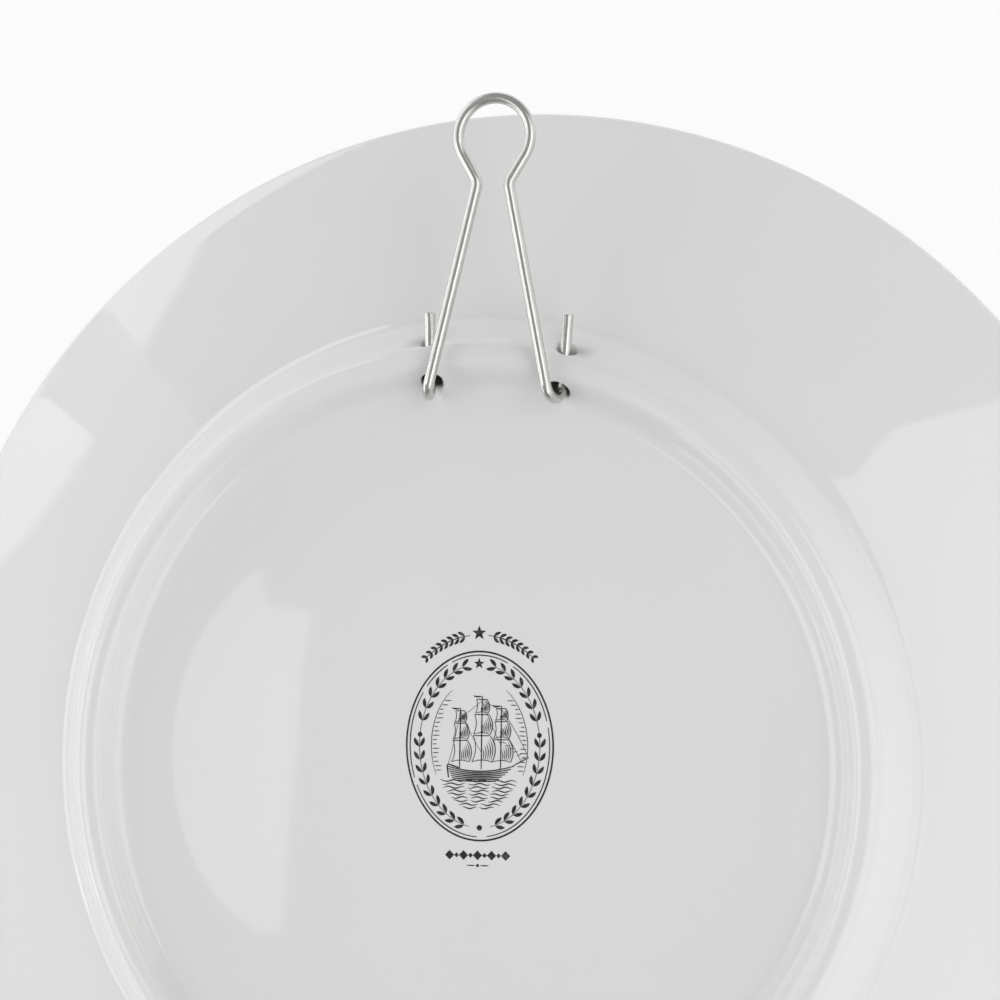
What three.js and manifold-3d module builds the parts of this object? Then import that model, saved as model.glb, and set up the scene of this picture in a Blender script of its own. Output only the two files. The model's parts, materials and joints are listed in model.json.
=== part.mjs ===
// Souvenir plate with a wire hanger: a glazed porcelain plate, drilled twice through its foot ring,
// and one bent steel wire that hooks through both holes and ends in a hanging loop.
// Units are millimetres. The plate lies face down: the rim stands on z = 0, +Z points out of the
// back, and +Y points from the plate's centre to the hanger. The origin is the rim's centre.
import * as THREE from 'three';
import { mergeVertices } from 'three/addons/utils/BufferGeometryUtils.js';
import Module from 'manifold-3d';

const wasm = await Module();
wasm.setup();

const { degToRad } = THREE.MathUtils;

// Plate: driving dimensions
const PLATE_RADIUS = 135;
const BASE_HEIGHT = 26;
const BASE_DOME = 0.7;
const BASE_DOME_RADIUS = 52;
const BASE_THICKNESS = 4.6;
const FOOT_FOLD_RADIUS = 72.4;
const FOOT_FOLD_RISE = 0.25;
const FOOT_FOLD_SLOPE = degToRad(4.5);
const FOOT_CREST_RISE = 6;
const FOOT_SHOULDER_RADIUS = 4.2;
const FOOT_CREST_RADIUS = 80.2;
const FOOT_WALL_DRAFT = degToRad(34);
const FOOT_ROOT_FILLET = 8;
const FLARE_ANGLE = degToRad(22.7);
const FLARE_THICKNESS = 4.2;
const RIM_NOSE_RADIUS = 1.8;
const RIM_CONTACT_WIDTH = 1;
const PLATE_SECTORS = 64;
const CURVE_STEPS = 4;

// Holes through the foot ring, one on each side of the Y axis
const HOLE_RADIUS = 2;
const HOLE_SPACING = 27.5;
const HOLE_PLAN_ANGLE = degToRad(6.5);
const HOLE_RISE_ANGLE = degToRad(3);
const HOLE_CUTTER_LENGTH = 20;
const HOLE_CUTTER_OFFSET = 1.3;
const HOLE_SIDES = 20;

// Hanger: driving dimensions, in its own plane before it is placed
const WIRE_RADIUS = 1.1;
const WIRE_SIDES = 10;
const WIRE_STEPS = 156;
const BEND_DIAMETER = 6;
const LEG_FOOT_HALF_SPACING = 11.9;
const LEG_SPLAY = degToRad(12.7);
const LOOP_RADIUS = 7.4;
const LOOP_MOUTH_ANGLE = degToRad(31);
const LOOP_CENTRE_REACH = 50.9;
const NECK_BEND_RADIUS = 3;
const STUB_HALF_SPACING = 13.95;
const STUB_SPLAY = degToRad(2.5);
const STUB_LENGTH = 10.1;

// Where the hanger sits: its hinge axis runs through the middle of both holes
const HINGE_Y = 79.2;
const HINGE_HEIGHT = BASE_HEIGHT + 2.5;
const BEND_TIP_Y = 72.8;
const HANGER_TILT = degToRad(4);
const HANGER_LEAN = degToRad(2.3);

const porcelain = new THREE.MeshStandardMaterial({ color: 0xe4e4e2, roughness: 0.12, metalness: 0 });
const steel = new THREE.MeshStandardMaterial({ color: 0xb9b7b1, roughness: 0.32, metalness: 1 });

// A point of the plane at a distance and angle from a centre.
function polar(centre, radius, angle) {
  const offset = new THREE.Vector2(Math.cos(angle), Math.sin(angle)).multiplyScalar(radius);
  return offset.add(centre);
}

// Where two lines of the plane cross; each is given by its normal's angle and a point on it.
function crossing(normalA, pointA, normalB, pointB) {
  const a = new THREE.Vector2(Math.cos(normalA), Math.sin(normalA));
  const b = new THREE.Vector2(Math.cos(normalB), Math.sin(normalB));
  const offsetA = a.dot(pointA);
  const offsetB = b.dot(pointB);
  const scale = a.x * b.y - a.y * b.x;
  return new THREE.Vector2(offsetA * b.y - offsetB * a.y, a.x * offsetB - b.x * offsetA).divideScalar(scale);
}

// The half section of the plate, as (radius, height), from the axis along the front, round the rim and
// home along the back.
function plateSection() {
  const flareNormal = Math.PI / 2 - FLARE_ANGLE;
  const nose = new THREE.Vector2(PLATE_RADIUS - RIM_NOSE_RADIUS, RIM_NOSE_RADIUS);
  const shoulder = new THREE.Vector2(FOOT_CREST_RADIUS, BASE_HEIGHT + FOOT_CREST_RISE - FOOT_SHOULDER_RADIUS);
  const wallPoint = polar(shoulder, FOOT_SHOULDER_RADIUS + FOOT_ROOT_FILLET, FOOT_WALL_DRAFT);
  const flarePoint = polar(nose, RIM_NOSE_RADIUS + FOOT_ROOT_FILLET, flareNormal);
  const root = crossing(FOOT_WALL_DRAFT, wallPoint, flareNormal, flarePoint);

  // The base is a low dome that runs out into a shallow hollow beside the foot ring's fold.
  const domeEnd = new THREE.Vector2(BASE_DOME_RADIUS, BASE_HEIGHT);
  const domeSlope = Math.atan(2 * BASE_DOME / BASE_DOME_RADIUS);
  const fold = new THREE.Vector2(FOOT_FOLD_RADIUS, BASE_HEIGHT + FOOT_FOLD_RISE);
  const hollow = crossing(Math.PI / 2 - domeSlope, domeEnd, Math.PI / 2 + FOOT_FOLD_SLOPE, fold);

  const back = new THREE.Path();
  back.moveTo(0, BASE_HEIGHT + BASE_DOME);
  back.quadraticCurveTo(BASE_DOME_RADIUS / 2, BASE_HEIGHT + BASE_DOME, domeEnd.x, domeEnd.y);
  back.quadraticCurveTo(hollow.x, hollow.y, fold.x, fold.y);
  back.quadraticCurveTo(fold.x + 1.4, fold.y + 0.11, fold.x + 3, fold.y + 1.2);
  back.bezierCurveTo(
    fold.x + 4.8, fold.y + 2.5,
    FOOT_CREST_RADIUS - 3, BASE_HEIGHT + FOOT_CREST_RISE,
    FOOT_CREST_RADIUS, BASE_HEIGHT + FOOT_CREST_RISE,
  );
  back.absarc(shoulder.x, shoulder.y, FOOT_SHOULDER_RADIUS, Math.PI / 2, FOOT_WALL_DRAFT, true);
  back.absarc(root.x, root.y, FOOT_ROOT_FILLET, Math.PI + FOOT_WALL_DRAFT, Math.PI + flareNormal, false);
  back.absarc(nose.x, nose.y, RIM_NOSE_RADIUS, flareNormal, -Math.PI / 2, true);

  const contactEdge = new THREE.Vector2(nose.x - RIM_CONTACT_WIDTH, 0);
  const frontFlare = polar(root, FOOT_ROOT_FILLET + FLARE_THICKNESS, Math.PI + flareNormal);
  const frontFloor = BASE_HEIGHT - BASE_THICKNESS;
  const front = new THREE.Path();
  front.moveTo(contactEdge.x, contactEdge.y);
  front.quadraticCurveTo(contactEdge.x - 1, 0, contactEdge.x - 2, 0.6);
  front.lineTo(frontFlare.x + 2, frontFlare.y - 2 * Math.tan(FLARE_ANGLE));
  front.bezierCurveTo(frontFlare.x - 6, frontFlare.y + 2.6, FOOT_CREST_RADIUS - 4, frontFloor, 72, frontFloor);
  front.lineTo(0, frontFloor + BASE_DOME / 2);
  return [...back.getPoints(CURVE_STEPS), ...front.getPoints(CURVE_STEPS)].reverse();
}

// Removes points that repeat the one before them, because joined arcs share their ends.
function withoutRepeats(points) {
  const closest = 0.01;
  return points.filter((point, i) => i === 0 || point.distanceTo(points[i - 1]) > closest);
}

// A closed geometry with its axis turned from +Y to +Z.
function latheUp(points, sectors) {
  return new THREE.LatheGeometry(withoutRepeats(points), sectors).rotateX(Math.PI / 2);
}

// A manifold solid from a closed three.js geometry.
function toSolid(geometry) {
  const bare = geometry.clone();
  bare.deleteAttribute('normal');
  bare.deleteAttribute('uv');
  const merged = mergeVertices(bare, 1e-4);
  const mesh = new wasm.Mesh({
    numProp: 3,
    vertProperties: new Float32Array(merged.attributes.position.array),
    triVerts: new Uint32Array(merged.index.array),
  });
  mesh.merge();
  return new wasm.Manifold(mesh);
}

// A three.js geometry from a manifold solid.
function toGeometry(solid) {
  const mesh = solid.getMesh();
  const geometry = new THREE.BufferGeometry();
  geometry.setAttribute('position', new THREE.BufferAttribute(mesh.vertProperties, mesh.numProp));
  geometry.setIndex(new THREE.BufferAttribute(mesh.triVerts, 1));
  geometry.computeVertexNormals();
  return geometry;
}

// The drill path through the foot ring on one side: side is -1 or +1.
function holeCutter(side) {
  const cutter = new THREE.CylinderGeometry(HOLE_RADIUS, HOLE_RADIUS, HOLE_CUTTER_LENGTH, HOLE_SIDES);
  cutter.translate(0, HOLE_CUTTER_OFFSET, 0);
  cutter.rotateX(HOLE_RISE_ANGLE);
  cutter.rotateZ(-side * HOLE_PLAN_ANGLE);
  cutter.translate(side * HOLE_SPACING / 2, HINGE_Y, HINGE_HEIGHT);
  return cutter;
}

// The plate: a turned shell with two holes through its foot ring.
function makePlate() {
  let solid = toSolid(latheUp(plateSection(), PLATE_SECTORS));
  for (const side of [-1, 1]) {
    solid = solid.subtract(toSolid(holeCutter(side)));
  }
  const plate = new THREE.Mesh(toGeometry(solid), porcelain);
  plate.name = 'plate';
  return plate;
}

// An arc that lies in the hanger's plane, at one height above the stubs' plane.
class PlaneArc extends THREE.Curve {
  constructor(centre, radius, from, to, height) {
    super();
    Object.assign(this, { centre, radius, from, to, height });
  }

  getPoint(t, target = new THREE.Vector3()) {
    const point = polar(this.centre, this.radius, THREE.MathUtils.lerp(this.from, this.to, t));
    return target.set(point.x, point.y, this.height);
  }
}

// The wire's centre line. X runs across the hanger, Y along it towards the loop, and Z up out of the
// stubs' plane, with the origin on the hinge axis. One side is laid out and then mirrored.
function wirePath() {
  const height = BEND_DIAMETER;
  const tipY = (BEND_TIP_Y - HINGE_Y) / Math.cos(HANGER_TILT);
  const legFootY = tipY + BEND_DIAMETER / 2;
  const loopCentre = new THREE.Vector2(0, tipY + LOOP_CENTRE_REACH);
  const legFoot = new THREE.Vector2(LEG_FOOT_HALF_SPACING, legFootY);

  // The neck's corner arc touches the leg and the straight that runs into the loop.
  const mouth = polar(loopCentre, LOOP_RADIUS, -LOOP_MOUTH_ANGLE);
  const neck = crossing(
    LEG_SPLAY, polar(legFoot, NECK_BEND_RADIUS, LEG_SPLAY),
    -LOOP_MOUTH_ANGLE, polar(mouth, NECK_BEND_RADIUS, -LOOP_MOUTH_ANGLE),
  );
  const legTop = polar(neck, NECK_BEND_RADIUS, Math.PI + LEG_SPLAY);
  const straightFoot = polar(neck, NECK_BEND_RADIUS, Math.PI - LOOP_MOUTH_ANGLE);

  // The bend turns the leg under itself, from the leg's plane down into the stub.
  const stubDirection = new THREE.Vector3(Math.sin(STUB_SPLAY), Math.cos(STUB_SPLAY), 0);
  const stubFoot = new THREE.Vector3(
    STUB_HALF_SPACING + legFootY * Math.tan(STUB_SPLAY), legFootY, 0,
  );
  const stubEnd = stubDirection.clone().multiplyScalar(STUB_LENGTH / Math.cos(STUB_SPLAY));
  stubEnd.x += STUB_HALF_SPACING;
  const legDirection = new THREE.Vector3(Math.sin(LEG_SPLAY), -Math.cos(LEG_SPLAY), 0);
  const handle = BEND_DIAMETER * 2 / 3;
  const legFootPoint = new THREE.Vector3(legFoot.x, legFoot.y, height);

  const side = (sign) => {
    const at = (point) => new THREE.Vector3(sign * point.x, point.y, point.z ?? height);
    const bend = [
      at(stubFoot),
      at(stubFoot.clone().addScaledVector(stubDirection, -handle)),
      at(legFootPoint.clone().addScaledVector(legDirection, handle)),
      at(legFootPoint),
    ];
    return { at, bend };
  };
  const arcAngle = (sign, angle) => (sign > 0 ? angle : Math.PI - angle);
  const neckArc = (sign) => new PlaneArc(
    new THREE.Vector2(sign * neck.x, neck.y), NECK_BEND_RADIUS,
    arcAngle(sign, Math.PI + LEG_SPLAY), arcAngle(sign, Math.PI - LOOP_MOUTH_ANGLE), height,
  );

  const right = side(1);
  const left = side(-1);
  const leftNeck = neckArc(-1);
  [leftNeck.from, leftNeck.to] = [leftNeck.to, leftNeck.from];
  const path = new THREE.CurvePath();
  path.add(new THREE.LineCurve3(right.at(stubEnd), right.at(stubFoot)));
  path.add(new THREE.CubicBezierCurve3(...right.bend));
  path.add(new THREE.LineCurve3(right.at(legFoot), right.at(legTop)));
  path.add(neckArc(1));
  path.add(new THREE.LineCurve3(right.at(straightFoot), right.at(mouth)));
  path.add(new PlaneArc(loopCentre, LOOP_RADIUS, -LOOP_MOUTH_ANGLE, Math.PI + LOOP_MOUTH_ANGLE, height));
  path.add(new THREE.LineCurve3(left.at(mouth), left.at(straightFoot)));
  path.add(leftNeck);
  path.add(new THREE.LineCurve3(left.at(legTop), left.at(legFoot)));
  path.add(new THREE.CubicBezierCurve3(...left.bend.reverse()));
  path.add(new THREE.LineCurve3(left.at(stubFoot), left.at(stubEnd)));
  return path;
}

// The hanger: one round wire, hooked through both holes.
function makeHanger() {
  const section = new THREE.Shape();
  section.absarc(0, 0, WIRE_RADIUS, 0, 2 * Math.PI);
  const wire = new THREE.ExtrudeGeometry(section, {
    steps: WIRE_STEPS,
    curveSegments: WIRE_SIDES / 2,
    bevelEnabled: false,
    extrudePath: wirePath(),
  });
  const hanger = new THREE.Mesh(wire, steel);
  hanger.name = 'wire_hanger';
  hanger.position.set(0, HINGE_Y, HINGE_HEIGHT);
  hanger.rotation.set(HANGER_TILT, 0, HANGER_LEAN, 'XYZ');
  return hanger;
}

const souvenirPlate = new THREE.Group();
souvenirPlate.add(makePlate());
souvenirPlate.add(makeHanger());
export default souvenirPlate;
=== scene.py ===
"""Souvenir plate with a wire hanger: its looks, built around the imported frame.

The plate lies face down, so that it shows its back. Lengths are in metres. +Z points out of the
plate's back, +Y from its centre to the hanger, and the origin is the centre of the rim.
"""

from __future__ import annotations

import json
import logging
import math
from collections.abc import Callable, Iterator
from contextlib import contextmanager
from dataclasses import dataclass, field
from enum import Enum

import bpy
from mathutils import Matrix, Vector

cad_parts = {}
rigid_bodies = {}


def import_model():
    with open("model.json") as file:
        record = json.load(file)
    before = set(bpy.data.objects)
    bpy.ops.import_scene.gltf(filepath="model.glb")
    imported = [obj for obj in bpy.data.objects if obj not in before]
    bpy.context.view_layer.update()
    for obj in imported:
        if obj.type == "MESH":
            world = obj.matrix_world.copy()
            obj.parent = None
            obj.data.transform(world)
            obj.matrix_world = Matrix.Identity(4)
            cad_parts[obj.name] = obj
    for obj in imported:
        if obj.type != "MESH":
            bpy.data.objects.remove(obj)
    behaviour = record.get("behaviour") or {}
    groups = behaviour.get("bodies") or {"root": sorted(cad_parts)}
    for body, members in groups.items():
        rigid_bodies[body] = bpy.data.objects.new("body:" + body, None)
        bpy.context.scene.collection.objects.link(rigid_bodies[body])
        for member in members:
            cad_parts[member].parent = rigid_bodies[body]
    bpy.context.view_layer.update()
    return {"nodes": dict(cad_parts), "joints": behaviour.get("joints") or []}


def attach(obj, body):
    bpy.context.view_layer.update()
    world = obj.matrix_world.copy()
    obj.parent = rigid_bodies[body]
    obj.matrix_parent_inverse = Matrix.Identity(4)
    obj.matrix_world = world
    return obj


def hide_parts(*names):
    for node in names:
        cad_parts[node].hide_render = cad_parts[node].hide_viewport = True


log = logging.getLogger("souvenir_plate")

Point2 = tuple[float, float]
Point3 = tuple[float, float, float]
Colour = tuple[float, float, float]
Path = Callable[[float], Point2]

MM = 0.001
ALONG_X = Vector((1.0, 0.0, 0.0))
ALONG_Y = Vector((0.0, 1.0, 0.0))
ALONG_Z = Vector((0.0, 0.0, 1.0))
SIDES = (-1, 1)  # left and right, along X
FADE_REACH = 3.0  # how many spreads out a soft spot has faded to nothing


class Body(Enum):
    """The bodies of the frame that pieces ride on."""

    PLATE = "plate"
    HANGER = "hanger"


class Slot(Enum):
    """The record's material slots."""

    PORCELAIN = "glazed_porcelain"
    STEEL = "steel_wire"
    PRINT = "fired_print"


# ------------------------------------------------------------------------------------------
# Bench work: small helpers around the modelling operators
# ------------------------------------------------------------------------------------------


def pick(*pieces: bpy.types.Object) -> None:
    """Selects only these pieces and makes the first one active.

    Args:
        pieces: The pieces to select.
    """
    bpy.ops.object.select_all(action="DESELECT")
    for piece in pieces:
        piece.select_set(True)
    bpy.context.view_layer.objects.active = pieces[0]


@contextmanager
def editing(piece: bpy.types.Object, select_all: bool = False) -> Iterator[None]:
    """Holds a piece in edit mode.

    Args:
        piece: The piece to edit.
        select_all: True to select all of it, and False to keep the vertices that are selected now.

    Yields:
        Nothing; the operators act on the piece meanwhile.
    """
    pick(piece)
    bpy.context.tool_settings.mesh_select_mode = (True, False, False)
    bpy.ops.object.mode_set(mode="EDIT")
    if select_all:
        bpy.ops.mesh.select_all(action="SELECT")
    try:
        yield
    finally:
        bpy.ops.object.mode_set(mode="OBJECT")


def select_where(piece: bpy.types.Object, test: Callable[[Vector], bool]) -> None:
    """Selects the vertices of a piece by their place.

    Args:
        piece: The piece, in object mode.
        test: Says for a vertex's place whether it is selected.
    """
    mesh = piece.data
    for part in (mesh.polygons, mesh.edges):
        part.foreach_set("select", [False] * len(part))
    mesh.vertices.foreach_set("select", [test(vertex.co) for vertex in mesh.vertices])


def newest(name: str) -> bpy.types.Object:
    """Names the piece that an operator has just added, and returns it."""
    piece = bpy.context.active_object
    piece.name = name
    piece.data.name = name
    return piece


def apply_modifier(piece: bpy.types.Object, kind: str, **settings: object) -> None:
    """Adds a modifier to a piece and applies it.

    Args:
        piece: The piece.
        kind: The modifier's type.
        settings: The modifier's own settings.
    """
    pick(piece)
    modifier = piece.modifiers.new(kind.title(), kind)
    for setting, value in settings.items():
        setattr(modifier, setting, value)
    bpy.ops.object.modifier_apply(modifier=modifier.name)


def settle_in_mesh(piece: bpy.types.Object) -> None:
    """Moves a piece's place into its mesh, so that its object sits at the origin."""
    pick(piece)
    bpy.ops.object.transform_apply(location=True, rotation=True, scale=True)


def round_off(piece: bpy.types.Object, angle: float = math.radians(40)) -> None:
    """Shades a piece smooth, apart from edges sharper than an angle."""
    pick(piece)
    bpy.ops.object.shade_smooth_by_angle(angle=angle)


# ------------------------------------------------------------------------------------------
# Lines: straight stretches, arcs and curves joined end to end
# ------------------------------------------------------------------------------------------


def spoke(centre: Vector, radius: float, angle: float) -> Vector:
    """The point of a flat plane at a distance and angle from a centre."""
    return centre + radius * Vector((math.cos(angle), math.sin(angle)))


def crossing(normal_a: float, point_a: Vector, normal_b: float, point_b: Vector) -> Vector:
    """Finds where two lines of a flat plane cross.

    Args:
        normal_a: The angle of the first line's normal.
        point_a: A point on the first line.
        normal_b: The angle of the second line's normal.
        point_b: A point on the second line.

    Returns:
        The point that lies on both lines.
    """
    a = Vector((math.cos(normal_a), math.sin(normal_a)))
    b = Vector((math.cos(normal_b), math.sin(normal_b)))
    reach_a, reach_b = a.dot(point_a), b.dot(point_b)
    spread = a.x * b.y - a.y * b.x
    return Vector((reach_a * b.y - reach_b * a.y, a.x * reach_b - b.x * reach_a)) / spread


@dataclass
class Knot:
    """One point of a line, with the handles before and after it."""

    place: Vector
    before: Vector
    after: Vector


class Line:
    """A line that is drawn stretch by stretch and becomes a curve object."""

    def __init__(self, start: Vector, across: Vector, along: Vector) -> None:
        """Starts the line.

        Args:
            start: Its first point.
            across: The direction of angle 0 of its arcs.
            along: The direction of a quarter turn of its arcs.
        """
        self.across = across
        self.along = along
        self.knots = [Knot(start.copy(), start.copy(), start.copy())]

    def curve(self, leaving: Vector, arriving: Vector, place: Vector) -> Line:
        """Adds a cubic curve by its two handles and its end point."""
        self.knots[-1].after = leaving.copy()
        self.knots.append(Knot(place.copy(), arriving.copy(), place.copy()))
        return self

    def bow(self, control: Vector, place: Vector) -> Line:
        """Adds a quadratic curve by its control point and its end point."""
        start = self.knots[-1].place
        return self.curve(start.lerp(control, 2 / 3), place.lerp(control, 2 / 3), place)

    def straight(self, place: Vector) -> Line:
        """Adds a straight stretch."""
        start = self.knots[-1].place
        return self.curve(start.lerp(place, 1 / 3), start.lerp(place, 2 / 3), place)

    def arc(self, centre: Vector, radius: float, start: float, stop: float) -> Line:
        """Adds an arc, in pieces of a quarter turn or less.

        Args:
            centre: The arc's centre.
            radius: Its radius.
            start: The angle that it starts from.
            stop: The angle that it ends at.

        Returns:
            The line itself.
        """
        rounding = 1e-9
        pieces = max(1, math.ceil(abs(stop - start) / (math.pi / 2) - rounding))
        step = (stop - start) / pieces
        handle = 4 / 3 * math.tan(step / 4) * radius
        for index in range(pieces):
            near, far = start + index * step, start + (index + 1) * step
            out = self._rim(near), self._rim(near + math.pi / 2)
            home = self._rim(far), self._rim(far + math.pi / 2)
            self.curve(
                centre + radius * out[0] + handle * out[1],
                centre + radius * home[0] - handle * home[1],
                centre + radius * home[0],
            )
        return self

    def _rim(self, angle: float) -> Vector:
        """The unit direction at an angle in the plane of the line's arcs."""
        return math.cos(angle) * self.across + math.sin(angle) * self.along

    def to_mesh(
        self, name: str, fineness: int, thickness: float = 0.0, sides: int = 4
    ) -> bpy.types.Object:
        """Makes the line a mesh: a bare wire of edges, or an open tube where it has a thickness.

        Args:
            name: The piece's name.
            fineness: How many steps each stretch is cut into.
            thickness: The tube's radius.
            sides: How many sides the tube has.

        Returns:
            The new piece.
        """
        bpy.ops.object.select_all(action="DESELECT")
        bpy.ops.curve.primitive_bezier_curve_add()
        piece = newest(name)
        data = piece.data
        data.dimensions = "3D"
        data.resolution_u = fineness
        spline = data.splines[0]
        spline.bezier_points.add(len(self.knots) - len(spline.bezier_points))
        for point, knot in zip(spline.bezier_points, self.knots):
            point.handle_left_type = point.handle_right_type = "FREE"
            point.co, point.handle_left, point.handle_right = knot.place, knot.before, knot.after
        if thickness:
            data.bevel_depth = thickness
            data.bevel_resolution = sides // 2 - 2
        pick(piece)
        bpy.ops.object.convert(target="MESH")
        return newest(name)


# ------------------------------------------------------------------------------------------
# Shader maths and finishes
# ------------------------------------------------------------------------------------------


class Shade:
    """A number on a shader's wire, which Python's operators turn into Math nodes."""

    def __init__(self, wiring: Wiring, socket: bpy.types.NodeSocket) -> None:
        """Wraps an output socket of a tree of nodes."""
        self.wiring = wiring
        self.socket = socket

    def __add__(self, other: Shade | float) -> Shade:
        """The sum of two numbers."""
        return self.wiring.maths("ADD", self, other)

    def __sub__(self, other: Shade | float) -> Shade:
        """The difference of two numbers."""
        return self.wiring.maths("SUBTRACT", self, other)

    def __rsub__(self, other: float) -> Shade:
        """The difference with the number on the right."""
        return self.wiring.maths("SUBTRACT", other, self)

    def __mul__(self, other: Shade | float) -> Shade:
        """The product of two numbers."""
        return self.wiring.maths("MULTIPLY", self, other)

    __radd__ = __add__
    __rmul__ = __mul__

    def above(self, level: float, softness: float) -> Shade:
        """A mask that rises from 0 to 1 around a level.

        Args:
            level: The value at which the mask is a half.
            softness: How far the value rises from mask 0 to mask 1.

        Returns:
            The mask.
        """
        settings = {"interpolation_type": "SMOOTHSTEP"}
        inputs = {"Value": self, "From Min": level - softness / 2, "From Max": level + softness / 2}
        return self.wiring.output("ShaderNodeMapRange", settings, inputs, "Result")


class Wiring:
    """The nodes of a material or of the room around the plate."""

    def __init__(self, owner: bpy.types.Material | bpy.types.World) -> None:
        """Starts with an empty tree.

        Args:
            owner: The material or world that the nodes belong to.
        """
        owner.use_nodes = True
        self.tree = owner.node_tree
        self.tree.nodes.clear()

    def node(
        self,
        kind: str,
        settings: dict[str, object] | None = None,
        inputs: dict[str | int, object] | None = None,
    ) -> bpy.types.Node:
        """Adds a node.

        Args:
            kind: The node's type.
            settings: Its own settings, which are set first.
            inputs: The values or links of its sockets, by name or number.

        Returns:
            The new node.
        """
        node = self.tree.nodes.new(kind)
        for setting, value in (settings or {}).items():
            setattr(node, setting, value)
        for key, value in (inputs or {}).items():
            self.feed(node.inputs[key], value)
        return node

    def feed(self, socket: bpy.types.NodeSocket, value: object) -> None:
        """Links a socket to a wire, or sets its value."""
        if isinstance(value, Shade):
            value = value.socket
        if isinstance(value, bpy.types.NodeSocket):
            self.tree.links.new(value, socket)
        else:
            socket.default_value = value

    def output(
        self, kind: str, settings: dict[str, object], inputs: dict[str | int, object], name: str
    ) -> Shade:
        """Adds a node and returns one of its outputs as a number."""
        return Shade(self, self.node(kind, settings, inputs).outputs[name])

    def place(self) -> bpy.types.NodeSocket:
        """Adds the coordinates of the object that wears the material."""
        return self.node("ShaderNodeTexCoord").outputs["Object"]

    def own(self, attribute: str, output: str) -> bpy.types.NodeSocket:
        """Adds one of the mesh's own attributes, read as the named output."""
        return self.node("ShaderNodeAttribute", {"attribute_name": attribute}).outputs[output]

    def maths(self, operation: str, first: Shade | float, second: Shade | float) -> Shade:
        """Adds a Math node for an operation on two numbers."""
        inputs = {0: first, 1: second}
        return self.output("ShaderNodeMath", {"operation": operation}, inputs, "Value")

    def noise(self, place: bpy.types.NodeSocket, scale: float, detail: float = 2.0) -> Shade:
        """Adds soft noise that varies around a half.

        Args:
            place: The coordinates that it reads.
            scale: How many waves it has in one unit of them.
            detail: How many finer layers it has.

        Returns:
            The noise.
        """
        inputs = {"Vector": place, "Scale": scale, "Detail": detail}
        return self.output("ShaderNodeTexNoise", {}, inputs, "Fac")

    def blend(
        self, share: Shade | bpy.types.NodeSocket, first: object, second: object
    ) -> bpy.types.NodeSocket:
        """Mixes two colours by a share.

        Args:
            share: 0 for the first colour only, and 1 for the second one only.
            first: The first colour, as three numbers or a link.
            second: The second colour, as three numbers or a link.

        Returns:
            The socket of the mixed colour.
        """
        node = self.node("ShaderNodeMix", {"data_type": "RGBA"})
        for name, value in {"Factor": share, "A": first, "B": second}.items():
            socket = next(one for one in node.inputs if one.enabled and one.name == name)
            self.feed(socket, (*value, 1.0) if isinstance(value, tuple) else value)
        return next(one for one in node.outputs if one.enabled)


class Sheet(Wiring):
    """A material's nodes, with one Principled surface."""

    def __init__(self, name: str) -> None:
        """Starts a material with nothing but its surface and its output."""
        self.material = bpy.data.materials.new(name)
        super().__init__(self.material)
        self.surface = self.node("ShaderNodeBsdfPrincipled")
        self.node("ShaderNodeOutputMaterial", inputs={"Surface": self.surface.outputs["BSDF"]})

    def relief(self, height: Shade) -> None:
        """Raises the surface by a height in metres, as a bump."""
        bump = self.node("ShaderNodeBump", inputs={"Height": height, "Distance": 1.0})
        self.feed(self.surface.inputs["Normal"], bump.outputs["Normal"])

    def set(self, **values: object) -> None:
        """Sets or links the surface's sockets, named in small letters with underscores."""
        names = {socket.name.lower().replace(" ", "_"): socket for socket in self.surface.inputs}
        for name, value in values.items():
            self.feed(names[name], value)

    def dress(self, piece: bpy.types.Object) -> None:
        """Gives a piece this finish as its only material."""
        piece.data.materials.clear()
        piece.data.materials.append(self.material)


@dataclass(frozen=True)
class PorcelainGlaze:
    """White porcelain under a clear, glossy glaze."""

    white: Colour = (0.870, 0.872, 0.862)
    pooled_white: Colour = (0.850, 0.853, 0.846)
    gloss_roughness: float = 0.025
    smear_scale: float = 33.0
    smear_roughness: float = 0.02
    pooling_scale: float = 14.0
    wave_scale: float = 42.0
    wave_height: float = 0.022 * MM
    peel_scale: float = 520.0
    peel_height: float = 0.0007 * MM
    speck_scale: float = 95.0
    speck_size: float = 0.022
    speck_patch_scale: float = 61.0
    speck_patch_level: float = 0.71
    speck_colour: Colour = (0.47, 0.44, 0.40)
    # Near-black colour that paints shade inside the holes and a shadow at each outer mouth; the
    # mask below says where.
    painted_hole_shade_colour: Colour = (0.07, 0.066, 0.06)
    shade_mask: str = "inside_bore"
    refraction: float = 1.52

    def sheet(self) -> Sheet:
        """Builds the finish.

        Returns:
            The sheet that dresses a piece with it.
        """
        sheet = Sheet("white glaze on porcelain")
        place = sheet.place()
        pooling = sheet.noise(place, self.pooling_scale, detail=3.0).above(0.5, softness=0.5)
        body = sheet.blend(pooling, self.white, self.pooled_white)
        cells = {"Vector": place, "Scale": self.speck_scale}
        near = sheet.output("ShaderNodeTexVoronoi", {}, cells, "Distance")
        patches = sheet.noise(place, self.speck_patch_scale, detail=0.0)
        rare = patches.above(self.speck_patch_level, softness=0.02)
        speck = (1.0 - near.above(self.speck_size, softness=self.speck_size)) * rare
        speckled = sheet.blend(speck, body, self.speck_colour)
        # Paints the holes' shade and the shadows at their mouths over the speckled glaze.
        colour = sheet.blend(sheet.own(self.shade_mask, "Fac"), speckled, self.painted_hole_shade_colour)
        smears = sheet.noise(place, self.smear_scale, detail=4.0)
        waves = sheet.noise(place, self.wave_scale, detail=1.0) * self.wave_height
        peel = sheet.noise(place, self.peel_scale, detail=1.0) * self.peel_height
        sheet.relief(waves + peel)
        roughness = smears * self.smear_roughness + self.gloss_roughness
        sheet.set(base_color=colour, roughness=roughness, ior=self.refraction)
        return sheet


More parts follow.
